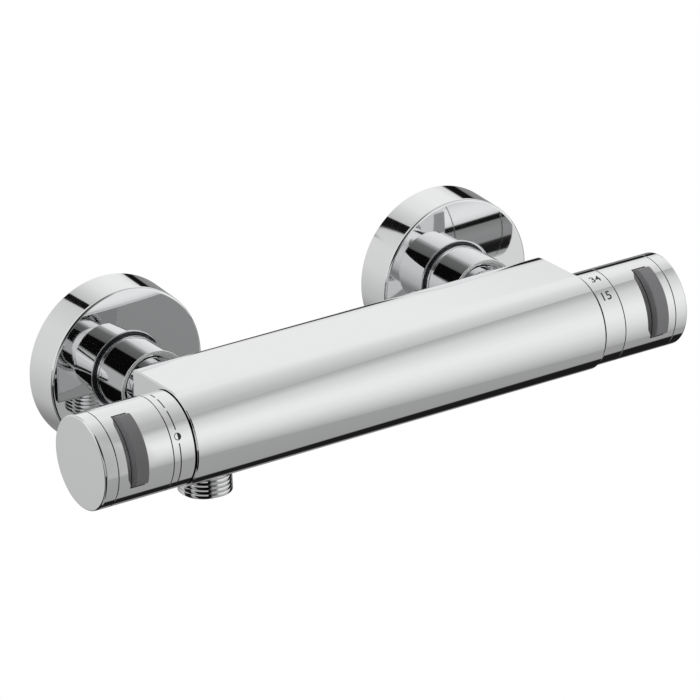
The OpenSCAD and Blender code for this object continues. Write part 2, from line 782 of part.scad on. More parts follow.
// Temperature cartridge
module slots(place, half) {
    for (i = [0:slot_count - 1]) rotate([0, 0, unit_turn * i / slot_count])
        translate([0, -slot_width / 2, place - half])
            cube([heat_pocket_d, slot_width, 2 * half]);
}
module heat_housing() {
    groove_r = heat_r - seal_wire * 3 / 4;
    color("goldenrod") on_side(1) difference() {
        union() {
            rod(heat_r, heat_back, -gland_depth);
            rod(neck_d / 2, heat_back, neck_out);
        }
        // Shuttle bore, key way and spindle bore
        rod(shuttle_bore_d / 2, heat_back - over, cold_seat);
        hex_rod(key_width + 2 * run_gap, heat_back, spindle_back - running_face);
        rod(spindle_flange_r + free_gap, heat_back, spindle_back + spindle_flange + running_face);
        rod(spindle_cup_d / 2 + run_gap, heat_back, neck_out + over);
        // Annular channels and their slots
        tube(heat_pocket_d, heat_r - annulus_depth, hot_port_place - hot_annulus_half,
            hot_port_place + hot_annulus_half);
        tube(heat_pocket_d, heat_r - annulus_depth, cold_inlet_place - cold_annulus_half,
            cold_inlet_place + cold_annulus_half);
        slots(hot_port_place, hot_slot_half);
        slots(cold_seat - cold_slot_half, cold_slot_half);
        for (place = heat_seal_places)
            tube(heat_pocket_d, groove_r, place - seal_wire * 2 / 3, place + seal_wire * 2 / 3);
    }
}
module heat_seals() {
    groove_r = heat_r - seal_wire * 3 / 4;
    color("dimgray") on_side(1) for (place = heat_seal_places)
        tube(heat_pocket_d / 2 - fit_gap / 2, groove_r + fit_gap,
            place - seal_wire / 2, place + seal_wire / 2);
}
module heat_hot_seat() {
    r = shuttle_bore_d / 2 - fit_gap;
    color("whitesmoke") on_side(1) difference() {
        rod(r, heat_back, hot_seat_front);
        rod(r - seat_wall, heat_back + seat_floor, hot_seat_front + over);
        rod(bulb_d / 2 + seat_wall, heat_back - over, hot_seat_front);
    }
}
module heat_shuttle() {
    r = shuttle_bore_d / 2 - run_gap;
    arms = 3;
    arm = slot_width;
    color("silver") on_side(1) difference() {
        union() {
            tube(r, r - shuttle_wall, shuttle_back, shuttle_front);
            rod(element_guide_d / 2 + shuttle_wall, web_back, web_back + shuttle_web);
            for (i = [0:arms - 1]) rotate([0, 0, unit_turn * i / arms])
                translate([0, -arm / 2, web_back])
                    cube([r - shuttle_wall / 2, arm, shuttle_web]);
        }
        rod(element_guide_d / 2 + fit_gap, web_back - over, web_back + shuttle_web + over);
    }
}
module heat_element() {
    color("peru") on_side(1) union() {
        rod(bulb_d / 2, element_back - bulb_length, element_back + element_flange);
        rod(element_flange_d / 2, element_back, web_back);
        rod(element_guide_d / 2, web_back, web_back + guide_length);
        rod(element_pin_d / 2, web_back, pin_front);
    }
}
module heat_return_spring() {
    color("silver") on_side(1)
        spring((element_flange_d - return_wire_d) / 2, return_wire_d, check_turns,
            heat_back + seat_floor + running_face, element_back - running_face);
}
module heat_screw() {
    color("goldenrod") on_side(1) difference() {
        union() {
            hex_rod(key_width, key_back, key_front);
            rod(screw_d / 2, key_back, screw_front);
        }
        rod(cup_r + fit_gap, key_back - over, screw_front - screw_floor);
    }
}
module heat_overload_cup() {
    color("silver") on_side(1) difference() {
        rod(cup_r, cup_back, cup_front);
        rod(cup_r - overload_wire_d, cup_back + screw_floor, cup_front + over);
    }
}
module heat_overload_spring() {
    color("silver") on_side(1)
        spring(cup_r - overload_wire_d / 2 - running_face, overload_wire_d, check_turns + 2,
            cup_front + running_face, screw_front - screw_floor - running_face);
}
module heat_spindle() {
    cup_floor = 2;
    color("silver") on_side(1) difference() {
        union() {
            rod(spindle_flange_r, spindle_back, spindle_back + spindle_flange);
            rod(spindle_cup_d / 2, spindle_back, neck_out - free_gap);
            rod(spindle_d / 2, spindle_back, spindle_out - spline_length);
            spindle_nose();
        }
        rod(screw_d / 2 + run_gap, spindle_back - over, screw_front + screw_travel + free_gap);
        rod(handle_screw_d / 2 + fit_gap, spindle_out - handle_screw_reach, spindle_out + over);
    }
}
module heat_clip() { clip(1); }
module heat_gland_nut() { gland_nut(1); }
module heat_stop_ring() { stop_ring(1, heat_turn); }

// Handles
module dial_ring(side) {
    color("silver") on_side(side)
        chamfered_tube(handle_r, ring_bore_r, ring_gap, ring_front, edge_chamfer);
}
module handle(side) {
    seat_r = handle_r - grip_seat;
    color("silver") on_side(side) difference() {
        union() {
            chamfered_tube(handle_r, bore_r, handle_back, handle_front, edge_chamfer);
            tube(sleeve_r, sleeve_r - sleeve_wall, sleeve_back, handle_back + web_thickness);
            rod(bore_r + fit_gap, web_back_place, web_front);
        }
        hex_rod(insert_hex + 2 * fit_gap, web_back_place - over, web_front + over);
        raised(grip_tilt) intersection() {
            tube(handle_r + over, seat_r, grip_place - grip_width / 2 - grip_joint,
                grip_place + grip_width / 2 + grip_joint);
            wedge(handle_r * 2, grip_half_angle + atan(grip_joint / handle_r),
                grip_place - grip_width, grip_place + grip_width);
        }
    }
}
// The grip is a crescent: its top is the handle's own round, set out by its height
module grip(side) {
    low = grip_place - grip_width / 2;
    high = grip_place + grip_width / 2;
    color("gray") on_side(side) raised(grip_tilt) difference() {
        intersection() {
            translate([grip_height, 0, 0]) rotate_extrude() polygon([
                [0, low], [handle_r - grip_chamfer, low], [handle_r, low + grip_chamfer],
                [handle_r, high - grip_chamfer], [handle_r - grip_chamfer, high],
                [0, high]]);
            wedge(handle_r * 2, grip_half_angle, low - over, high + over);
        }
        rod(handle_r - grip_seat + fit_gap, low - over, high + over);
        for (s = [-1, 1]) rotate([0, 0, s * grip_half_angle])
            translate([handle_r, 0, low - over]) rotate([0, 0, -s * grip_end_lean])
                translate([0, s > 0 ? 0 : -grip_width, 0])
                    cube([2 * grip_width, grip_width, grip_width + 2 * over]);
    }
}
module end_cap(side) {
    e = cap_edge_radius;
    skirt_r = bore_r - fit_gap;
    color("silver") on_side(side) rotate_extrude() union() {
        polygon([
            [0, handle_length - cap_face], [skirt_r - skirt_wall, handle_length - cap_face],
            [skirt_r - skirt_wall, cap_back - skirt_depth], [skirt_r, cap_back - skirt_depth],
            [skirt_r, cap_back], [handle_r - edge_chamfer, cap_back],
            [handle_r, cap_back + edge_chamfer], [handle_r, handle_length - e],
            [handle_r - e, handle_length - e], [handle_r - e, handle_length],
            [0, handle_length]]);
        intersection() {
            translate([handle_r - e, handle_length - e]) circle(r = e);
            translate([handle_r - e, handle_length - e]) square([e, e]);
        }
    }
}
module insert(side) {
    color("black") on_side(side) difference() {
        union() {
            rod(insert_hub_r, insert_hub_back, web_back_place);
            rod(insert_flange_r, insert_flange_back, web_back_place);
            hex_rod(insert_hex, web_back_place - over, web_front);
            arc_block(insert_flange_r, stop_lug_inner, insert_lug_angle / 2, insert_lug_back,
                insert_flange_back + over);
        }
        rod(spline_bore_r, insert_hub_back - over, spindle_out + fit_gap);
        rod(screw_hole_r, insert_hub_back, web_front + over);
    }
}
module handle_screw(side) {
    color("silver") on_side(side) difference() {
        union() {
            rod(handle_screw_head_r, web_front, web_front + handle_screw_head);
            rod(handle_screw_d / 2, spindle_out - handle_screw_reach + free_gap, web_front + over);
        }
        hex_rod(driver_slot, web_front + handle_screw_head - driver_slot_depth,
            web_front + handle_screw_head + over);
    }
}
module flow_dial_ring() { dial_ring(-1); }
module temp_dial_ring() { dial_ring(1); }
module flow_handle() { handle(-1); }
module temp_handle() { handle(1); }
module flow_grip() { grip(-1); }
module temp_grip() { grip(1); }
module flow_end_cap() { end_cap(-1); }
module temp_end_cap() { end_cap(1); }
module flow_insert() { insert(-1); }
module temp_insert() { insert(1); }
module flow_screw() { handle_screw(-1); }
module temp_screw() { handle_screw(1); }

bar_body();
outlet_nipple();
outlet_seal();
left_wall_union();
left_rose();
left_rose_ring();
left_union_nut();
left_inlet_washer();
left_spigot();
left_check_housing();
left_check_poppet();
left_check_spring();
right_wall_union();
right_rose();
right_rose_ring();
right_union_nut();
right_inlet_washer();
right_spigot();
right_check_housing();
right_check_poppet();
right_check_spring();
flow_gasket();
flow_fixed_disc();
flow_moving_disc();
flow_housing();
flow_seals();
flow_spindle();
flow_clip();
flow_gland_nut();
flow_stop_ring();
heat_housing();
heat_seals();
heat_hot_seat();
heat_shuttle();
heat_element();
heat_return_spring();
heat_screw();
heat_overload_cup();
heat_overload_spring();
heat_spindle();
heat_clip();
heat_gland_nut();
heat_stop_ring();
flow_dial_ring();
flow_handle();
flow_grip();
flow_end_cap();
flow_insert();
flow_screw();
temp_dial_ring();
temp_handle();
temp_grip();
temp_end_cap();
temp_insert();
temp_screw();
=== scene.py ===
# Exposed thermostatic shower valve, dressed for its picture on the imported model.
import json
import math

import bmesh
import bpy
from mathutils import Matrix, Vector


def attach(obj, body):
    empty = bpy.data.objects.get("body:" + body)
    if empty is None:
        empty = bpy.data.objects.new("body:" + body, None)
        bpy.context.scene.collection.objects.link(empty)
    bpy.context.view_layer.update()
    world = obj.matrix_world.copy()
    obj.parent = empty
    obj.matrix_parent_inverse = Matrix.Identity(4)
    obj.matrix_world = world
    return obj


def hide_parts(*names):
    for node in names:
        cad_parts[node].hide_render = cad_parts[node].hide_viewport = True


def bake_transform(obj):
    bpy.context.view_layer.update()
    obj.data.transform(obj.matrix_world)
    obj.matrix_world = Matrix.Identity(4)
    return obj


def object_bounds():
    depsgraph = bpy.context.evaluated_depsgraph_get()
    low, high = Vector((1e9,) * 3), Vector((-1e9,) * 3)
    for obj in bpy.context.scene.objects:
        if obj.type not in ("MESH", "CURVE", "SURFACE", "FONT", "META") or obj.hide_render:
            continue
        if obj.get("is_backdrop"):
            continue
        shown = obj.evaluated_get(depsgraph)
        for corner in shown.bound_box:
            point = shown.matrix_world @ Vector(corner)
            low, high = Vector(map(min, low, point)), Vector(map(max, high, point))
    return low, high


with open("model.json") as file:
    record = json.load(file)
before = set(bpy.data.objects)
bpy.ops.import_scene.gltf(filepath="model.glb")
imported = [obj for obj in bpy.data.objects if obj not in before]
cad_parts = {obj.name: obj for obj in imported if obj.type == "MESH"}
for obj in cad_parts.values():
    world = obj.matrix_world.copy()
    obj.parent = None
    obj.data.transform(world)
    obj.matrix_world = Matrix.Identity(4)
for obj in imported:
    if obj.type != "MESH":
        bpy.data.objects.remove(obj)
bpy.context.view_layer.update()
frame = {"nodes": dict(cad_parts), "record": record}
nodes = frame["nodes"]

# Camera
# The picture is taken from the front left and above with a long lens, level
# with nothing: the camera is rolled a little. Its target is near the bar.
mm = 0.001
bar_y, bar_z = -75.5, -8.7
azimuth, elevation, roll = (math.radians(a) for a in (-31.859, 22.471, -2.377))
camera_distance, lens_length, sensor_width = 2.18596, 298.24, 36
back = Vector((math.sin(azimuth) * math.cos(elevation),
               -math.cos(azimuth) * math.cos(elevation), math.sin(elevation)))
flat_right = Vector((0, 0, 1)).cross(back).normalized()
flat_up = back.cross(flat_right)
right = flat_right * math.cos(roll) + flat_up * math.sin(roll)
up = flat_up * math.cos(roll) - flat_right * math.sin(roll)
target = Vector((-12.222, bar_y, 14.699 + bar_z)) * mm


def in_scene(name, data):
    """A new object of this name, linked into the scene."""
    made = bpy.data.objects.new(name, data)
    bpy.context.scene.collection.objects.link(made)
    return made


camera = bpy.data.cameras.new("camera")
camera.sensor_width = sensor_width
camera.lens = lens_length
camera.clip_start, camera.clip_end = 0.1, 100
camera_object = in_scene("camera", camera)
camera_object.matrix_world = (Matrix.Translation(target + back * camera_distance)
                              @ Matrix((right, up, back)).transposed().to_4x4())
bpy.context.scene.camera = camera_object

# Wall unions
# Cranked brass couplings, chrome plated, that screw into the wall fittings
# and carry the nuts. Turned in one piece on two centres; the wall end has a
# G 1/2 pipe thread, cut as a ridge wound round the plain core.
inlet_x, inlet_z, wall_z = 75.0, -6.0, 0.0
both_sides = (-1, "left"), (1, "right")


def closed_mesh(name, points, faces, material, crease=32):
    """A closed piece from points in millimetres, smooth up to the crease angle."""
    shell = bmesh.new()
    corners = [shell.verts.new(Vector(p) * mm) for p in points]
    for face in faces:
        shell.faces.new([corners[i] for i in face])
    bmesh.ops.remove_doubles(shell, verts=shell.verts, dist=1e-7)
    bmesh.ops.dissolve_degenerate(shell, dist=1e-8, edges=shell.edges)
    bmesh.ops.recalc_face_normals(shell, faces=shell.faces)
    mesh = bpy.data.meshes.new(name)
    shell.to_mesh(mesh)
    shell.free()
    mesh.polygons.foreach_set("use_smooth", [True] * len(mesh.polygons))
    mesh.set_sharp_from_angle(angle=math.radians(crease))
    mesh.materials.append(material)
    return in_scene(name, mesh)


def eased(outline, steps=4, keep=0.04):
    """A closed outline of (radius, height, rounding) with its corners rounded.

    A point is kept a little before and after each arc, so the flats shade flat."""
    corners = []
    for i, (r, h, rounding) in enumerate(outline):
        if rounding <= 0:
            corners.append((r, h))
            continue
        here = Vector((r, h))
        before = (Vector(outline[i - 1][:2]) - here).normalized()
        after = (Vector(outline[(i + 1) % len(outline)][:2]) - here).normalized()
        half = before.angle(after) / 2
        run = rounding / math.tan(half)
        centre = here + (before + after).normalized() * (rounding / math.sin(half))
        start, end = here + before * run, here + after * run
        first = math.atan2(start.y - centre.y, start.x - centre.x)
        swing = math.atan2(end.y - centre.y, end.x - centre.x) - first
        swing = (swing + math.pi) % (2 * math.pi) - math.pi
        corners.append(tuple(start + before * keep))
        for step in range(steps + 1):
            a = first + swing * step / steps
            corners.append((centre.x + rounding * math.cos(a), centre.y + rounding * math.sin(a)))
        corners.append(tuple(end + after * keep))
    return corners


def turned(name, outline, place, material, sides=128, steps=4):
    """A closed outline of (radius, height, rounding) turned once round its axis."""
    profile = eased(outline, steps)
    count = len(profile)
    points = [place(r, 2 * math.pi * k / sides, h) for k in range(sides) for r, h in profile]
    faces = []
    for k in range(sides):
        a, b = k * count, (k + 1) % sides * count
        faces += [(a + i, b + i, b + (i + 1) % count, a + (i + 1) % count) for i in range(count)]
    return closed_mesh(name, points, faces, material)


def off_wall(side, level=inlet_z):
    """Places a turned piece on an inlet's axis; height is the distance off the wall."""
    return lambda r, a, h: (side * inlet_x + r * math.cos(a), -h, level + r * math.sin(a))


def joined(name, pieces):
    """Several shells, each of one material, as one piece."""
    shell = bmesh.new()
    mesh = bpy.data.meshes.new(name)
    for piece in pieces:
        before = len(shell.faces)
        shell.from_mesh(piece.data)
        shell.faces.ensure_lookup_table()
        finish = piece.data.materials[0]
        if mesh.materials.find(finish.name) < 0:
            mesh.materials.append(finish)
        for face in shell.faces[before:]:
            face.material_index = mesh.materials.find(finish.name)
        bpy.data.objects.remove(piece)
    shell.to_mesh(mesh)
    shell.free()
    return in_scene(name, mesh)


def finish_of(name, color, metallic, rough, swing, grain, bump, bump_grain, coat=0.0):
    """A plain finish whose roughness and surface vary a little with place.

    The grains are waves to the metre: of the roughness, which goes up and down
    by the swing, and of the bump."""
    material = bpy.data.materials.new(name)
    material.use_nodes = True
    tree = material.node_tree
    shader = tree.nodes["Principled BSDF"]
    shader.inputs["Base Color"].default_value = (*color, 1)
    shader.inputs["Metallic"].default_value = metallic
    shader.inputs["Coat Weight"].default_value = coat
    place = tree.nodes.new("ShaderNodeTexCoord")
    cloud = tree.nodes.new("ShaderNodeTexNoise")
    cloud.inputs["Scale"].default_value = grain
    cloud.inputs["Detail"].default_value = 4
    tree.links.new(place.outputs["Object"], cloud.inputs["Vector"])
    spread = tree.nodes.new("ShaderNodeMapRange")
    spread.inputs["To Min"].default_value = rough - swing
    spread.inputs["To Max"].default_value = rough + swing
    tree.links.new(cloud.outputs["Fac"], spread.inputs["Value"])
    tree.links.new(spread.outputs["Result"], shader.inputs["Roughness"])
    fine = tree.nodes.new("ShaderNodeTexNoise")
    fine.inputs["Scale"].default_value = bump_grain
    fine.inputs["Detail"].default_value = 3
    tree.links.new(place.outputs["Object"], fine.inputs["Vector"])
    height = tree.nodes.new("ShaderNodeBump")
    height.inputs["Strength"].default_value = bump
    height.inputs["Distance"].default_value = 0.0001
    tree.links.new(fine.outputs["Fac"], height.inputs["Height"])
    tree.links.new(height.outputs["Normal"], shader.inputs["Normal"])
    return material


chrome = finish_of("chrome plate", (0.90, 0.905, 0.91), metallic=1.0, rough=0.035, swing=0.015,
                   grain=60, bump=0.01, bump_grain=180)

thread_tree = bpy.data.node_groups.new("pipe thread", "GeometryNodeTree")
for label, kind in (("Core radius", "Float"), ("Pitch", "Float"), ("Length", "Float"),
                    ("Ridge height", "Float"), ("Crest width", "Float"), ("Steps a turn", "Int"),
                    ("Finish", "Material")):
    thread_tree.interface.new_socket(name=label, in_out="INPUT", socket_type="NodeSocket" + kind)
thread_tree.interface.new_socket(name="Ridge", in_out="OUTPUT", socket_type="NodeSocketGeometry")
given = thread_tree.nodes.new("NodeGroupInput")
turns = thread_tree.nodes.new("ShaderNodeMath")
turns.operation = "DIVIDE"
helix = thread_tree.nodes.new("GeometryNodeCurveSpiral")
upright = thread_tree.nodes.new("GeometryNodeSetCurveNormal")
upright.mode = "Z_UP"
section = thread_tree.nodes.new("GeometryNodeCurvePrimitiveQuadrilateral")
section.mode = "TRAPEZOID"
section.inputs["Offset"].default_value = 0
turn_section = thread_tree.nodes.new("GeometryNodeTransform")
turn_section.inputs["Rotation"].default_value = (0, 0, -math.pi / 2)
soften = thread_tree.nodes.new("GeometryNodeFilletCurve")
soften.mode = "POLY"
soften.inputs["Count"].default_value = 2
soften.inputs["Radius"].default_value = 0.00009
sweep = thread_tree.nodes.new("GeometryNodeCurveToMesh")
sweep.inputs["Fill Caps"].default_value = True
realize = thread_tree.nodes.new("GeometryNodeRealizeInstances")
paint = thread_tree.nodes.new("GeometryNodeSetMaterial")
ridge_out = thread_tree.nodes.new("NodeGroupOutput")
for source, plug, sink, socket in (
        (given, "Length", turns, 0), (given, "Pitch", turns, 1),
        (turns, 0, helix, "Rotations"), (given, "Steps a turn", helix, "Resolution"),
        (given, "Core radius", helix, "Start Radius"), (given, "Core radius", helix, "End Radius"),
        (given, "Length", helix, "Height"), (helix, 0, upright, 0), (upright, 0, sweep, 0),
        (given, "Ridge height", section, "Height"), (given, "Pitch", section, "Bottom Width"),
        (given, "Crest width", section, "Top Width"), (section, 0, turn_section, 0),
        (turn_section, 0, soften, 0), (soften, 0, sweep, "Profile Curve"), (sweep, 0, realize, 0),
        (realize, 0, paint, 0), (given, "Finish", paint, "Material"),
        (paint, 0, ridge_out, 0)):
    thread_tree.links.new(source.outputs[plug], sink.inputs[socket])


def plain_mesh(holder):
    """What an object's modifiers or its text come to, as a plain mesh."""
    bpy.context.view_layer.update()
    graph = bpy.context.evaluated_depsgraph_get()
    return bpy.data.meshes.new_from_object(holder.evaluated_get(graph))


def pipe_thread(name, length, placed):
    """A right-handed G 1/2 thread ridge round +Z from 0 to length, then set in place."""
    holder = in_scene(name, bpy.data.meshes.new(name))
    winding = holder.modifiers.new("thread", "NODES")
    winding.node_group = thread_tree
    ridge_height = thread_depth + ridge_sunk
    wanted = {"Core radius": (core_r - ridge_sunk + ridge_height / 2) * mm,
              "Pitch": half_inch_pitch * mm, "Length": length * mm,
              "Ridge height": ridge_height * mm, "Crest width": half_inch_pitch * crest_share * mm,
              "Steps a turn": 72, "Finish": chrome}
    for item in thread_tree.interface.items_tree:
        if item.in_out == "INPUT":
            winding[item.identifier] = wanted[item.name]
    mesh = plain_mesh(holder)
    holder.modifiers.remove(winding)
    holder.data = mesh
    mesh.transform(placed)
    shell = bmesh.new()
    shell.from_mesh(mesh)
    bmesh.ops.recalc_face_normals(shell, faces=shell.faces)
    shell.to_mesh(mesh)
    shell.free()
    mesh.polygons.foreach_set("use_smooth", [True] * len(mesh.polygons))
    mesh.set_sharp_from_angle(angle=math.radians(40))
    return holder


half_inch_r, half_inch_pitch, thread_depth = 20.955 / 2, 1.814, 1.162
core_r, ridge_sunk, crest_share = half_inch_r - thread_depth, 0.05, 0.34
tail_bore_r, tail_end, tail_foot = 7.0, -14.0, 4.5
union_bore_r, nut_end_r, nut_end_top, collar_r, collar_top = 9.5, 13.2, 26.0, 18.0, 9.0
for side, word in both_sides:
    wall_end = turned(word + "_wall_end", [
        (tail_bore_r, tail_end, 0.2), (core_r - 0.5, tail_end, 0.2), (core_r, -13.4, 0.1),
        (core_r, 0, 0), (half_inch_r, 0, 0), (half_inch_r, tail_foot, 0),
        (tail_bore_r, tail_foot, 0)], off_wall(side, wall_z), chrome, 96)
    collar = turned(word + "_collar", [
        (union_bore_r, 3, 0), (union_bore_r, collar_top, 0), (collar_r, collar_top, 0.4),
        (collar_r, 0, 0.4), (11.2, 0, 0)], off_wall(side, (wall_z + inlet_z) / 2), chrome, 96)
    nut_end = turned(word + "_nut_end", [
        (union_bore_r, 3, 0), (union_bore_r, nut_end_top, 0.2), (nut_end_r, nut_end_top, 0.3),
        (nut_end_r, 4.5, 0)], off_wall(side), chrome, 96)
    ridge = pipe_thread(word + "_wall_thread", 11.4,
                        Matrix.Translation(Vector((side * inlet_x, 1.2, wall_z)) * mm)
                        @ Matrix.Rotation(-math.pi / 2, 4, "X"))
    union = joined(word + "_union_turned", [wall_end, collar, nut_end, ridge])
    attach(union, "valve")
    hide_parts(word + "_wall_union")

# Roses
# Pressed cups, polished and chrome plated, that hide the holes in the tiles.
# The face is nearly flat with a rounded rim, and its hole is turned in round
# the nut. Pressed, not turned, so the two faces are domed a little differently.
rose_hole_r, rose_rim_r, rose_back_r, rose_depth, rose_edge = 15.4, 33.1, 34.0, 16.3, 1.1
rose_lip_r, rose_lip, rose_inside = 16.5, 12.9, 14.2
face_radii = (31.4, 30.4, 29, 27.5, 26, 24.5, 23, 21.5, 20, 18.5, 17.3)


def face_height(r, dome):
    """How far off the wall a rose's face is at a radius, falling by the dome to its rim."""
    fall = (r ** 2 - rose_hole_r ** 2) / (rose_rim_r ** 2 - rose_hole_r ** 2)
    return rose_depth - dome * fall


for side, word, dome in ((-1, "left", 0.8), (1, "right", 0.15)):
    rose = turned(word + "_rose_pressed", [
        (rose_hole_r, rose_depth, rose_edge), (rose_hole_r, rose_lip, 0),
        (rose_lip_r, rose_lip, 0), (rose_lip_r, rose_inside, 0), (31.2, rose_inside, 0),
        (32.7, 0, 0), (rose_back_r, 0, 0.2),
        (rose_rim_r, face_height(rose_rim_r, dome), rose_edge)]
        + [(r, face_height(r, dome), 0) for r in face_radii], off_wall(side), chrome, 192, 8)
    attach(rose, "valve")
    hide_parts(word + "_rose")

# Rose rings
# Soft black rubber rings pressed into each rose's hole. They grip the nut and
# hold the rose against the tiles. They show as a dark, shiny line.
rubber = finish_of("black rubber", (0.018, 0.018, 0.018), metallic=0.0, rough=0.55, swing=0.1,
                   grain=300, bump=0.25, bump_grain=2500)
shiny_rubber = finish_of("shiny rubber", (0.03, 0.034, 0.042), metallic=0.0, rough=0.3,
                         swing=0.04, grain=300, bump=0.05, bump_grain=2500, coat=0.4)
seal_inner_r, seal_outer_r, seal_back, seal_front = 14.55, 15.35, 13.0, 15.6
for side, word in both_sides:
    ring = turned(word + "_rose_ring_moulded", [
        (seal_inner_r, seal_back, 0.15), (seal_outer_r, seal_back, 0.15),
        (seal_outer_r, seal_front, 0.3), (seal_inner_r, seal_front, 0.3)],
        off_wall(side), shiny_rubber, 128)
    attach(ring, "valve")
    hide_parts(word + "_rose_ring")

# Union nuts
# Plain round brass nuts, chrome plated, that draw the valve's spigots onto
# the unions. Two fine grooves run round the back. The front lip is flat and
# satin, with a shallow recess inside.
satin = finish_of("satin chrome", (0.97, 0.97, 0.97), metallic=1.0, rough=0.5, swing=0.05,
                  grain=300, bump=0.02, bump_grain=900)
nut_r, groove_r, nut_thread_r, recess_r, nut_hole_r = 14.5, 14.2, 13.27, 13.1, 11.7
nut_back, nut_front, recess_floor, nut_shoulder = 12.5, 36.0, 33.6, 31.8
for side, word in both_sides:
    nut = turned(word + "_union_nut_turned", [
        (nut_thread_r, nut_back, 0), (nut_r, nut_back, 0.3),
        (nut_r, 17.4, 0), (groove_r, 17.6, 0), (nut_r, 17.8, 0),
        (nut_r, 18.9, 0), (groove_r, 19.1, 0), (nut_r, 19.3, 0),
        (nut_r, nut_front, 0.35), (recess_r, nut_front, 0.2), (recess_r, recess_floor, 0),
        (nut_hole_r, recess_floor, 0.1), (nut_hole_r, nut_shoulder, 0),
        (nut_thread_r, nut_shoulder, 0)], off_wall(side), chrome, 160)
    nut.data.materials.append(satin)
    for face in nut.data.polygons:
        if face.center.y < (0.3 - nut_front) * mm:
            face.material_index = 1
    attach(nut, "valve")
    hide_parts(word + "_union_nut")

# Inlet spigots
# Brass tubes screwed into the back of the bar, chrome plated, with a flange
# inside the nut. Each holds a check valve.
flange_r, spigot_r, valve_bore_r, water_bore_r = 12.6, 11.4, 9.25, 7.5
flange_back, flange_front, valve_stop, spigot_shoulder, spigot_end = 28.0, 31.5, 45.0, 50.2, 59.4
for side, word in both_sides:
    spigot = turned(word + "_spigot_turned", [
        (valve_bore_r, flange_back, 0.1), (flange_r, flange_back, 0.2),
        (flange_r, flange_front, 0.2), (spigot_r, flange_front, 0),
        (spigot_r, spigot_shoulder, 0.1), (half_inch_r, spigot_shoulder, 0),
        (half_inch_r, spigot_end, 0.3),
        (water_bore_r, spigot_end, 0.2), (water_bore_r, valve_stop, 0),
        (valve_bore_r, valve_stop, 0)], off_wall(side), chrome, 128)
    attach(spigot, "valve")
    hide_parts(word + "_spigot")

# Bar
# The valve's body: a brass casting with a round front and a flat back, ground,
# polished and chrome plated. It is bored for the water ways, for the two
# cartridges in its ends, for the spigots and for the outlet.
bar_half, bar_r, bar_rear, lower_edge = 92.0, 19.2, 26.3, 1.2
fall_length, fall_drop = 7.0, 1.0
outlet_x, outlet_y = -71.4, 12 + bar_y


def bar_outline(inset):
    """Points of the D section as (towards the wall, up), from the top round the front.

    Its upper rear edge falls off in a long, low curve from the polishing."""
    r, rear, e = bar_r - inset, bar_rear - inset, lower_edge
    outline = [(rear - fall_length - 0.05, r), (rear * 0.4, r), (1.2, r)]
    outline += [(-r * math.sin(a), r * math.cos(a)) for a in
                (math.pi * i / 120 for i in range(121))]
    outline += [(1.2, -r), (rear * 0.4, -r), (rear - e - 0.05, -r)]
    outline += [(rear - e + e * math.sin(a), -(r - e) - e * math.cos(a)) for a in
                (math.pi / 2 * i / 8 for i in range(9))]
    outline += [(rear, e + 0.05 - r), (rear, 0), (rear, r - fall_drop - 0.05)]
    outline += [(rear - fall_length * (1 - math.cos(a)), r - fall_drop * (1 - math.sin(a)))
                for a in (math.pi / 2 * i / 24 for i in range(25))]
    return outline


# Each end steps in to a narrow joint: (distance from the end, inset).
end_steps = ((0, 0.55), (0.15, 0.4), (0.4, 0.4), (0.4, 0.12), (0.52, 0), (0.6, 0))
stations = [(step - bar_half, inset) for step, inset in end_steps]
stations += [(x, 0) for x in (-86, -84.5, -58, -40, 0, 40, 86)]
stations += [(bar_half - step, inset) for step, inset in end_steps[::-1]]
points = [(x, bar_y + y, bar_z + z) for x, inset in stations for y, z in bar_outline(inset)]


def tube_faces(rings, count):
    """Faces of a tube of rings, each of this many points, with both ends closed."""
    faces = []
    for ring in range(rings - 1):
        a, b = ring * count, (ring + 1) * count
        faces += [(a + i, a + (i + 1) % count, b + (i + 1) % count, b + i) for i in range(count)]
    return faces + [tuple(range(count)), tuple(range((rings - 1) * count, rings * count))]


rings = len(stations)
bar = closed_mesh("bar_polished", points, tube_faces(rings, len(points) // rings), chrome)


def bored(piece, name, bores):
    """Cuts round bores, each (radius, start, end) in millimetres, out of a piece."""
    cutter = in_scene(name, bpy.data.meshes.new(name))
    shell = bmesh.new()
    for r, start, end in bores:
        start, end = Vector(start) * mm, Vector(end) * mm
        along = end - start
        bmesh.ops.create_cone(shell, cap_ends=True, segments=64, radius1=r * mm, radius2=r * mm,
                              depth=along.length, matrix=Matrix.Translation((start + end) / 2)
                              @ along.to_track_quat("Z", "Y").to_matrix().to_4x4())
    shell.to_mesh(cutter.data)
    shell.free()
    cutter.data.materials.append(brass)
    cut = piece.modifiers.new("bores", "BOOLEAN")
    cut.operation = "DIFFERENCE"
    cut.object = cutter
    cut.solver = "EXACT"
    cut.use_self = True
    cut.material_mode = "TRANSFER"
    mesh = plain_mesh(piece)
    piece.modifiers.remove(cut)
    piece.data = mesh
    mesh.set_sharp_from_angle(angle=math.radians(32))
    bpy.data.objects.remove(cutter)


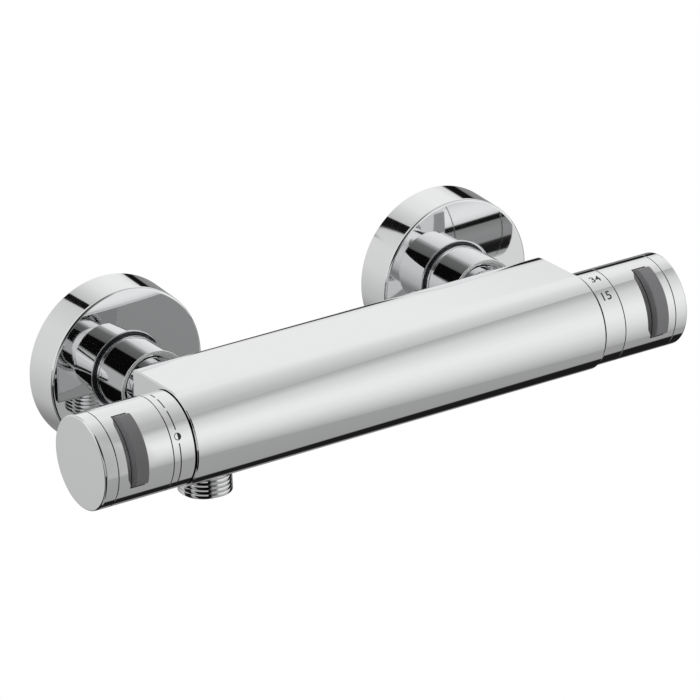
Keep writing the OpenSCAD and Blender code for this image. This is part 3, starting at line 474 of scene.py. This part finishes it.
brass = finish_of("machined brass", (0.76, 0.60, 0.30), metallic=1.0, rough=0.28, swing=0.08,
                  grain=250, bump=0.15, bump_grain=900)
flow_pocket_r, heat_pocket_r, gland_r, mixed_way_r, hot_way_r = 12.0, 14.5, 15.6, 6.5, 3.7
tapped_r, outlet_way_r, hot_way_y, outlet_way_y = 10.52, 4.5, 19.4 + bar_y, 6 + bar_y
bored(bar, "bar_bores", [
    (flow_pocket_r, (-92.6, bar_y, bar_z), (-62, bar_y, bar_z)),
    (heat_pocket_r, (46, bar_y, bar_z), (92.6, bar_y, bar_z)),
    (gland_r, (-92.7, bar_y, bar_z), (-84, bar_y, bar_z)),
    (gland_r, (84, bar_y, bar_z), (92.7, bar_y, bar_z)),
    (mixed_way_r, (-62.4, bar_y, bar_z), (46.4, bar_y, bar_z)),
    (tapped_r, (-inlet_x, -48.5, inlet_z), (-inlet_x, -59.5, inlet_z)),
    (tapped_r, (inlet_x, -48.5, inlet_z), (inlet_x, -59.5, inlet_z)),
    (hot_way_r, (-inlet_x, hot_way_y, inlet_z), (57.5, hot_way_y, inlet_z)),
    (tapped_r, (outlet_x, outlet_y, bar_z - 20), (outlet_x, outlet_y, bar_z - 13.35)),
    (outlet_way_r, (outlet_x, outlet_way_y, bar_z - 14), (outlet_x, outlet_way_y, bar_z - 8))])
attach(bar, "valve")
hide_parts("bar_body")

# Outlet
# A threaded brass nipple, chrome plated, screwed up into the bar under its
# left end for the hose, with a rubber ring where it leaves the bar.
outlet_top, nipple_tip, nipple_foot, nipple_bore_r = bar_z - bar_r, -11.8, 5.8, 7.5
nipple = turned("outlet_core", [
    (nipple_bore_r, nipple_tip, 0.2), (core_r - 0.1, nipple_tip, 0.25), (core_r, -11.2, 0.1),
    (core_r, -1.6, 0), (core_r, nipple_foot, 0), (nipple_bore_r, nipple_foot, 0)],
    lambda r, a, h: (outlet_x + r * math.cos(a), outlet_y + r * math.sin(a), outlet_top + h),
    chrome, 96)
ridge = pipe_thread("outlet_thread", 14.9,
                    Matrix.Translation(Vector((outlet_x, outlet_y, outlet_top - 10.8)) * mm))
outlet = joined("outlet_nipple_turned", [nipple, ridge])
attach(outlet, "valve")
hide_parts("outlet_nipple")

# Dial rings
# Narrow chromed rings between the bar and the handles. They carry the printed
# marks and turn with the handles behind a fine running gap.
handle_r, ring_bore_r, ring_start, ring_end = 18.4, 16.6, 0.55, 9.6
joint_floor_r, joint_reach = 13.0, 36.0
both_handles = (-1, "flow", "flow_control"), (1, "temp", "temperature_control")


def off_end(side):
    """Places a turned piece on the bar's axis; height is how far out from the bar's end."""
    return lambda r, a, h: (side * (bar_half + h), bar_y - r * math.cos(a),
                            bar_z + r * math.sin(a))


# Painted shade: a black, matt finish on the walls inside the joints between the bar, rings,
# handles and caps. It stands for the shade in those grooves.
painted_shade = finish_of("blackened joint", (0.008, 0.008, 0.008), metallic=0.0, rough=0.7,
                      swing=0.05, grain=300, bump=0.05, bump_grain=2500)


def paint_joint_shade(piece):
    """Paints shade on the walls that a piece turns to its neighbours on the bar's axis, where the
    joints fall into shade.
    """
    piece.data.materials.append(painted_shade)
    for face in piece.data.polygons:
        out = abs(face.center.x) / mm - bar_half
        r = math.hypot(face.center.y / mm - bar_y, face.center.z / mm - bar_z)
        faces_along = abs(face.normal.x) > 0.8
        if faces_along and joint_floor_r < r < handle_r - 0.05 and 0 < out < joint_reach:
            face.material_index = 1


for side, word, body in both_handles:
    ring = turned(word + "_dial_ring_turned", [
        (ring_bore_r, ring_start, 0.1), (handle_r, ring_start, 0.22), (handle_r, ring_end, 0.12),
        (ring_bore_r, ring_end, 0.1)], off_end(side), chrome, 256)
    paint_joint_shade(ring)
    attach(ring, body)
    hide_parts(word + "_dial_ring")

# Printed marks
# Dark grey print on the dial rings: two temperatures on the right, and on the
# left a line round the ring, broken by dashes and a half-filled dot.
print_ink = finish_of("dark grey print", (0.035, 0.036, 0.04), metallic=0.0, rough=0.45,
                      swing=0.05, grain=400, bump=0.05, bump_grain=3000)
ink_low, ink_high, type_size_per_height = handle_r - 0.03, handle_r + 0.02, 1.42


def bent_on_ring(piece, x, angle):
    """Bends a flat mark, in metres, round the ring: its foot is towards the front."""
    for v in piece.data.vertices:
        a = math.radians(angle) + v.co.y / (handle_r * mm)
        r = (ink_low if v.co.z < 0 else ink_high) * mm
        v.co = (x * mm + v.co.x, bar_y * mm - r * math.cos(a), bar_z * mm + r * math.sin(a))
    piece.data.update()


def split_fine(piece):
    """Cuts a flat mark's faces small, so that it can bend round the ring."""
    shell = bmesh.new()
    shell.from_mesh(piece.data)
    bmesh.ops.remove_doubles(shell, verts=shell.verts, dist=1e-8)
    bmesh.ops.triangulate(shell, faces=shell.faces)
    bmesh.ops.subdivide_edges(shell, edges=[e for e in shell.edges if e.calc_length() > 0.0004],
                              cuts=2, use_grid_fill=True)
    bmesh.ops.triangulate(shell, faces=shell.faces)
    bmesh.ops.recalc_face_normals(shell, faces=shell.faces)
    shell.to_mesh(piece.data)
    shell.free()


def numeral(name, text, x, angle, height):
    """A number printed on the ring, of this height in millimetres."""
    words = bpy.data.curves.new(name, "FONT")
    words.body = text
    words.size = height * type_size_per_height * mm
    words.offset = 0.00006
    words.align_x, words.align_y = "CENTER", "CENTER"
    words.extrude = 0.0001
    words.resolution_u = 4
    holder = in_scene(name, words)
    mesh = plain_mesh(holder)
    bpy.data.objects.remove(holder)
    piece = in_scene(name, mesh)
    mesh.materials.clear()
    mesh.materials.append(print_ink)
    split_fine(piece)
    bent_on_ring(piece, x, angle)
    return piece


def stroke(name, outline, x, angle):
    """A flat mark with this outline, in millimetres, printed on the ring."""
    count = len(outline)
    faces = [tuple(range(count)), tuple(range(2 * count - 1, count - 1, -1))]
    faces += [(i, (i + 1) % count, count + (i + 1) % count, count + i) for i in range(count)]
    points = [(u, v, level) for level in (-0.1, 0.1) for u, v in outline]
    piece = closed_mesh(name, points, faces, print_ink)
    split_fine(piece)
    bent_on_ring(piece, x, angle)
    return piece


marks = joined("temperature_numerals", [
    numeral("numeral_high", "34", 97.2, 74.6, 3.3), numeral("numeral_low", "15", 96.7, 46.3, 3.6)])
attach(marks, "temperature_control")
line_x, line_half_width, dot_angle, dot_r, dot_rim = -98.7, 0.24, 25.3, 1.45, 0.3
dash_ends = (96.7, 85.6), (80.4, 63.7), (58.7, 33.4), (17.3, -40.6)
dashes = []
for number, (high, low) in enumerate(dash_ends):
    arc = [math.radians(high + (low - high) * i / 24) * handle_r for i in range(25)]
    outline = [(-line_half_width, v) for v in arc] + [(line_half_width, v) for v in arc[::-1]]
    dashes.append(stroke("dash_%d" % number, outline, line_x, 0))
outer, inner = ([(r * math.cos(a), r * math.sin(a)) for a in (math.pi * i / 24 for i in range(49))]
                for r in (dot_r, dot_r - dot_rim))
dashes.append(stroke("dot_rim_left", outer[12:37] + inner[36:11:-1], line_x, dot_angle))
dashes.append(stroke("dot_half", outer[:13] + outer[36:48], line_x, dot_angle))
marks = joined("flow_marks", dashes)
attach(marks, "flow_control")

# Handles
# Turned brass sleeves, chrome plated, that slip over the cartridges' necks.
# Each has a thin web inside, on which the splined insert is screwed.
collar_bore_r, ring_seat_r, sleeve_bore_r, web_hole_r = 14.9, 16.5, 16.4, 7.2
sleeve_start, sleeve_end, web_inner, web_outer, collar_foot = 9.85, 33.25, 18.0, 20.5, 12.27
for side, word, body in both_handles:
    handle = turned(word + "_handle_turned", [
        (collar_bore_r, 0.85, 0.1), (ring_seat_r, 0.85, 0.1), (ring_seat_r, sleeve_start, 0),
        (handle_r, sleeve_start, 0.12), (handle_r, sleeve_end, 0.12),
        (sleeve_bore_r, sleeve_end, 0), (sleeve_bore_r, web_outer, 0),
        (web_hole_r, web_outer, 0), (web_hole_r, web_inner, 0),
        (sleeve_bore_r, web_inner, 0), (sleeve_bore_r, collar_foot, 0),
        (collar_bore_r, collar_foot, 0)], off_end(side), chrome, 256)
    paint_joint_shade(handle)
    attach(handle, body)
    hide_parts(word + "_handle")

# Grips
# Matt grey plastic crescents let into each handle, so that a wet hand can turn
# it. The top is the handle's own round, set out; the ends lean in. A thin black
# band round the foot, flush with the handle, is painted shade for the gap there.
grip_plastic = finish_of("matt grey plastic", (0.325, 0.325, 0.336), metallic=0.0, rough=0.52,
                         swing=0.05, grain=220, bump=0.2, bump_grain=2600)
# Painted shade: a flat black band, just proud of the handle, stands for the shadow in the gap
# round each grip's foot.
painted_gap_shade = finish_of("black gasket", (0.012, 0.012, 0.012), metallic=0.0, rough=0.6, swing=0.05,
                   grain=300, bump=0.1, bump_grain=2500)
grip_place, grip_width, grip_height, grip_steps = 25.0, 5.8, 3.65, 72
grip_tilt, grip_half, grip_lean = 25.0, 46.5, 46.0


def crescent_top(t):
    """Radius of the grip's top at an angle from its middle, in degrees.

    It is the lower of a round set out from the handle's and of a leaning end."""
    a, lean = math.radians(t), math.radians(grip_lean)
    dome = grip_height * math.cos(a) + math.sqrt(handle_r ** 2 - (grip_height * math.sin(a)) ** 2)
    ramp = handle_r * math.sin(lean) / math.sin(max(lean - math.radians(grip_half) + abs(a), 0.3))
    soft, gap = 0.35, dome - ramp
    return (dome + ramp - math.sqrt(gap * gap + soft * soft)) / 2 + soft / 8


# Each grip is the plastic block and, round its foot, a black band of painted shade for the gap.
for side, word, body in both_handles:
    shells = []
    for label, half, reach, floor_r, top, finish in (
            ("_grip_block", grip_width / 2, grip_half, handle_r - 0.7, crescent_top, grip_plastic),
            ("_grip_gap_shade", grip_width / 2 + 0.25, grip_half + 1.6, handle_r - 0.5,
             lambda t: handle_r + 0.08, painted_gap_shade)):
        points = []
        for step in range(grip_steps + 1):
            t = reach * math.sin(math.pi / 2 * (2 * step / grip_steps - 1))
            rim = max(top(t), handle_r + 0.02)
            edge = min(0.45, (rim - handle_r) * 0.45)
            outline = eased([(floor_r, -half, 0), (rim, -half, edge), (rim, half, edge),
                             (floor_r, half, 0)], 5, 0.01)
            for r, w in outline:
                a = math.radians(grip_tilt + t)
                points.append((side * (bar_half + grip_place + w), bar_y - r * math.cos(a),
                               bar_z + r * math.sin(a)))
        faces = tube_faces(grip_steps + 1, len(outline))
        shells.append(closed_mesh(word + label, points, faces, finish))
    grip = joined(word + "_grip_moulded", shells)
    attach(grip, body)
    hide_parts(word + "_grip")

# End caps
# Polished, chromed caps that snap into the outer end of each handle and hide
# its screw. The face is flat with a softly rounded edge.
cap_start, cap_end, cap_inside, snap_end, snap_r, snap_bore_r = 33.5, 39, 37.2, 29.4, 16.35, 14.95
for side, word, body in both_handles:
    cap = turned(word + "_end_cap_turned", [
        (0, cap_inside, 0), (snap_bore_r, cap_inside, 0), (snap_bore_r, snap_end, 0.1),
        (snap_r, snap_end, 0.1), (snap_r, cap_start, 0), (handle_r, cap_start, 0.12),
        (handle_r, cap_end, 0.8), (0, cap_end, 0)], off_end(side), chrome, 256, 8)
    paint_joint_shade(cap)
    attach(cap, body)
    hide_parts(word + "_end_cap")

# Pieces inside
# The cartridges, check valves, screws, springs and seals keep their machined
# forms. Brass, stainless steel, ceramic, rubber and moulded plastic.
steel = finish_of("stainless steel", (0.62, 0.62, 0.61), metallic=1.0, rough=0.26, swing=0.06,
                  grain=300, bump=0.08, bump_grain=1200)
ceramic = finish_of("lapped ceramic", (0.86, 0.84, 0.78), metallic=0.0, rough=0.2, swing=0.03,
                    grain=200, bump=0.02, bump_grain=900, coat=0.3)
white_plastic = finish_of("white moulded plastic", (0.80, 0.80, 0.78), metallic=0.0, rough=0.4,
                          swing=0.05, grain=250, bump=0.1, bump_grain=1800)
black_plastic = finish_of("black moulded plastic", (0.022, 0.022, 0.024), metallic=0.0,
                          rough=0.42, swing=0.06, grain=250, bump=0.12, bump_grain=1800)
finishes = {"chrome": chrome, "grip_plastic": grip_plastic, "brass": brass,
            "steel": steel, "rubber": rubber, "white_plastic": white_plastic,
            "black_plastic": black_plastic, "ceramic": ceramic}
for row in frame["record"]["subparts"]:
    mesh = nodes[row["node"]].data
    mesh.materials.clear()
    mesh.materials.append(finishes[row["material_slot"]])

# Springs
# The springs of the check valves and the cartridge's return spring, wound from
# steel wire. Each closes up between its seat and the piece that it pushes.
spring_coils, steps_a_coil, wire_sides = 5, 28, 10


def wound(name, wire_r, coil_r, seat, pushed):
    """A wire wound round the line from a spring's seat to the piece that it pushes."""
    seat, pushed = Vector(seat), Vector(pushed)
    along = (pushed - seat).normalized()
    across = along.orthogonal().normalized()
    other = along.cross(across)
    steps = steps_a_coil * spring_coils
    points = []
    for i in range(steps + 1):
        turn = 2 * math.pi * i / steps_a_coil
        out = across * math.cos(turn) + other * math.sin(turn)
        middle = seat + (pushed - seat) * (i / steps) + out * coil_r
        points += [middle + (out * math.cos(a) + along * math.sin(a)) * wire_r for a in
                   (2 * math.pi * k / wire_sides for k in range(wire_sides))]
    return closed_mesh(name, points, tube_faces(steps + 1, wire_sides), steel, 60)


check_seat_y, check_pushed_y = -42.5, -33.5
for node, body, wire_r, coil_r, seat, pushed in (
        ("left_check_spring", "left_poppet", 0.34, 3.35,
         (-inlet_x, check_seat_y, inlet_z), (-inlet_x, check_pushed_y, inlet_z)),
        ("right_check_spring", "right_poppet", 0.34, 3.35,
         (inlet_x, check_seat_y, inlet_z), (inlet_x, check_pushed_y, inlet_z)),
        ("heat_return_spring", "regulator", 0.58, 6.9,
         (48.78, bar_y, bar_z), (55.52, bar_y, bar_z))):
    spring = wound(node + "_wound", wire_r, coil_r, seat, pushed)
    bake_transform(spring)
    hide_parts(node)

# Light tent
# A round tent of white cloth stands about the valve, as for any polished
# metal. It gives the soft light and all that the chrome mirrors: bright cloth
# above and in front, grey below, and a few narrow dark gaps.
tent_r = 0.65
tent_mesh = bpy.data.meshes.new("light_tent")
shell = bmesh.new()
bmesh.ops.create_icosphere(shell, subdivisions=5, radius=tent_r)
bmesh.ops.reverse_faces(shell, faces=shell.faces)
shell.to_mesh(tent_mesh)
shell.free()
tent = in_scene("light_tent", tent_mesh)
cloth = bpy.data.materials.new("lit cloth")
cloth.use_nodes = True
net = cloth.node_tree
net.nodes.clear()


def worked(operation, *values):
    """A sum in the tree in hand, net, from numbers or sockets."""
    node = net.nodes.new("ShaderNodeMath")
    node.operation = operation
    for i, value in enumerate(values):
        if isinstance(value, (int, float)):
            node.inputs[i].default_value = value
        else:
            net.links.new(value, node.inputs[i])
    return node.outputs[0]


def plus(a, b):
    return worked("ADD", a, b)


def minus(a, b):
    return worked("SUBTRACT", a, b)


def times(a, b):
    return worked("MULTIPLY", a, b)


def over(a, b):
    return worked("DIVIDE", a, b)


def kept_to_one(value):
    return worked("MINIMUM", worked("MAXIMUM", value, 0), 1)


def within(value, low, high, soft):
    """1 between low and high, falling to 0 over the soft width at each side."""
    rise, fall = over(minus(value, low), soft), over(minus(high, value), soft)
    return kept_to_one(plus(worked("MINIMUM", rise, fall), 0.5))


def turn_of(up, out):
    """The angle of a place round an axis, from 0 to 1."""
    return over(plus(worked("DEGREES", worked("ARCTAN2", up, out)), 180), 360)


def brightness(value, stops):
    """A run of grey levels, as the eye reads them from 0 to 255, along a value from 0 to 1."""
    ramp = net.nodes.new("ShaderNodeValToRGB")
    ramp.color_ramp.elements.remove(ramp.color_ramp.elements[1])
    for i, (place, level) in enumerate(stops):
        stop = ramp.color_ramp.elements[0] if i == 0 else ramp.color_ramp.elements.new(place)
        stop.position = place
        grey = ((level / 255 + 0.055) / 1.055) ** 2.4 / chrome_reflects
        stop.color = (grey, grey, grey, 1)
    net.links.new(value, ramp.inputs["Fac"])
    return ramp.outputs["Color"]


def laid_over(below, above, share):
    """One cloth over another, where its share is 1."""
    mix = net.nodes.new("ShaderNodeMix")
    mix.data_type = "RGBA"
    net.links.new(share, mix.inputs["Factor"])
    net.links.new(below, mix.inputs["A"])
    net.links.new(above, mix.inputs["B"])
    return mix.outputs["Result"]


chrome_reflects, far = 0.9, 2.0
spot = net.nodes.new("ShaderNodeTexCoord")
axes = net.nodes.new("ShaderNodeSeparateXYZ")
net.links.new(spot.outputs["Object"], axes.inputs[0])
east, wallward, height = axes.outputs

# The ground cloth, by its angle round the bar. Its black gap below rises to the right.
bar_turn = turn_of(minus(height, bar_z * mm), minus(bar_y * mm, wallward))
around = minus(times(bar_turn, 360), 180)
to_right = kept_to_one(over(minus(east, 0.24), 0.18))
rise = times(times(to_right, within(around, -220, -50, 20)), 0.03)
shade = brightness(minus(bar_turn, rise), [
    (0.0, 140), (0.065, 135), (0.10, 50), (0.14, 26), (0.226, 26), (0.236, 150), (0.36, 154),
    (0.50, 160), (0.67, 175), (0.70, 180), (0.74, 196), (0.784, 210), (0.83, 227), (0.86, 231),
    (1.0, 229)])

# The front cloth hangs a little askew, so its edges cross the bar at a slant.
from_middle = minus(east, 0.225)
front_top = plus(times(from_middle, 140), 62)
front_foot = plus(times(from_middle, -130), -40)
share = over(minus(around, front_foot), minus(front_top, front_foot))
front = brightness(share, [
    (0.0, 165), (0.1, 186), (0.2, 203), (0.3, 217), (0.4, 226), (0.5, 232), (0.6, 231),
    (0.69, 224), (0.78, 214), (0.86, 204), (0.93, 184), (1.0, 166)])
shade = laid_over(shade, front, within(share, 0.0, 1.0, 0.012))

# Behind the valve: white cloth above, a black gap on the right and grey below.
rear = brightness(turn_of(height, east), [
    (0.0, 206), (0.08, 188), (0.125, 178), (0.17, 150), (0.21, 128), (0.30, 130), (0.44, 140),
    (0.515, 126), (0.522, 18), (0.56, 18), (0.568, 214), (0.60, 231), (0.66, 231), (0.72, 221),
    (0.79, 186), (0.83, 200), (0.91, 210), (1.0, 206)])
shade = laid_over(shade, rear, within(wallward, 0.28, far, 0.04))

# A leaning slot between two cloths behind, on the left.
off_slot = over(minus(east, minus(times(height, 1.10), 0.628)), 0.026)
slot = times(within(off_slot, -1.0, 1.0, 0.2), within(wallward, 0.3, far, 0.02))
slot = times(slot, within(height, 0.3, 0.53, 0.02))
shade = laid_over(shade, brightness(bar_turn, [(0.0, 18)]), slot)

# Beside the camera it is dark, but for one pale strip level with the valve.
dark_side = brightness(plus(east, 0.5), [
    (0.0, 8), (0.35, 8), (0.37, 88), (0.55, 104), (0.60, 140), (0.66, 186)])
strip = times(within(height, -0.17, 0.14, 0.04), within(east, -far, -0.25, 0.02))
dark_side = laid_over(dark_side, brightness(bar_turn, [(0.0, 168)]), strip)
low_front = times(within(height, -far, -0.25, 0.02), within(east, -0.08, far, 0.02))
dark_share = times(within(wallward, -far, -0.2, 0.03), within(east, -far, 0.16, 0.01))
shade = laid_over(shade, dark_side, times(dark_share, minus(1.0, low_front)))
emission = net.nodes.new("ShaderNodeEmission")
net.links.new(shade, emission.inputs["Color"])
surface = net.nodes.new("ShaderNodeOutputMaterial")
net.links.new(emission.outputs[0], surface.inputs["Surface"])
tent_mesh.materials.append(cloth)
tent.visible_camera = False
tent.visible_shadow = False
tent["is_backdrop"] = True

# Floor and white ground
# A plain pale floor far below, as under a wall-mounted valve, and a white
# world. Both show as plain white to the camera and in the metal.
floor_half, floor_z = 30, -1.2
floor_mesh = bpy.data.meshes.new("floor")
floor_mesh.from_pydata([(x * floor_half, y * floor_half, floor_z) for x, y in
                        ((-1, -1), (1, -1), (1, 1), (-1, 1))], [], [(0, 1, 2, 3)])
floor = in_scene("floor", floor_mesh)
floor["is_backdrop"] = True
pale = bpy.data.materials.new("pale floor")
pale.use_nodes = True
floor_mesh.materials.append(pale)
world = bpy.data.worlds.new("studio")
world.use_nodes = True
bpy.context.scene.world = world


def white_where_seen(plain, glow_kind, out):
    """Shows plain white to the camera and in gloss or glass, and lights as the plain node does."""
    ray = net.nodes.new("ShaderNodeLightPath")
    seen = worked("MAXIMUM", ray.outputs["Is Camera Ray"], ray.outputs["Is Glossy Ray"])
    seen = worked("MAXIMUM", seen, ray.outputs["Is Transmission Ray"])
    glow = net.nodes.new(glow_kind)
    glow.inputs["Color"].default_value = (1, 1, 1, 1)
    choice = net.nodes.new("ShaderNodeMixShader")
    net.links.new(seen, choice.inputs[0])
    net.links.new(plain.outputs[0], choice.inputs[1])
    net.links.new(glow.outputs[0], choice.inputs[2])
    net.links.new(choice.outputs[0], out.inputs["Surface"])


net = pale.node_tree
net.nodes.remove(net.nodes["Principled BSDF"])
matt = net.nodes.new("ShaderNodeBsdfDiffuse")
matt.inputs["Color"].default_value = (0.8, 0.8, 0.8, 1)
white_where_seen(matt, "ShaderNodeEmission", net.nodes["Material Output"])
net = world.node_tree
sky = net.nodes["Background"]
sky.inputs["Color"].default_value = (0.7, 0.7, 0.7, 1)
white_where_seen(sky, "ShaderNodeBackground", net.nodes["World Output"])
bpy.context.scene.view_settings.view_transform = "Standard"

low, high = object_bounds()
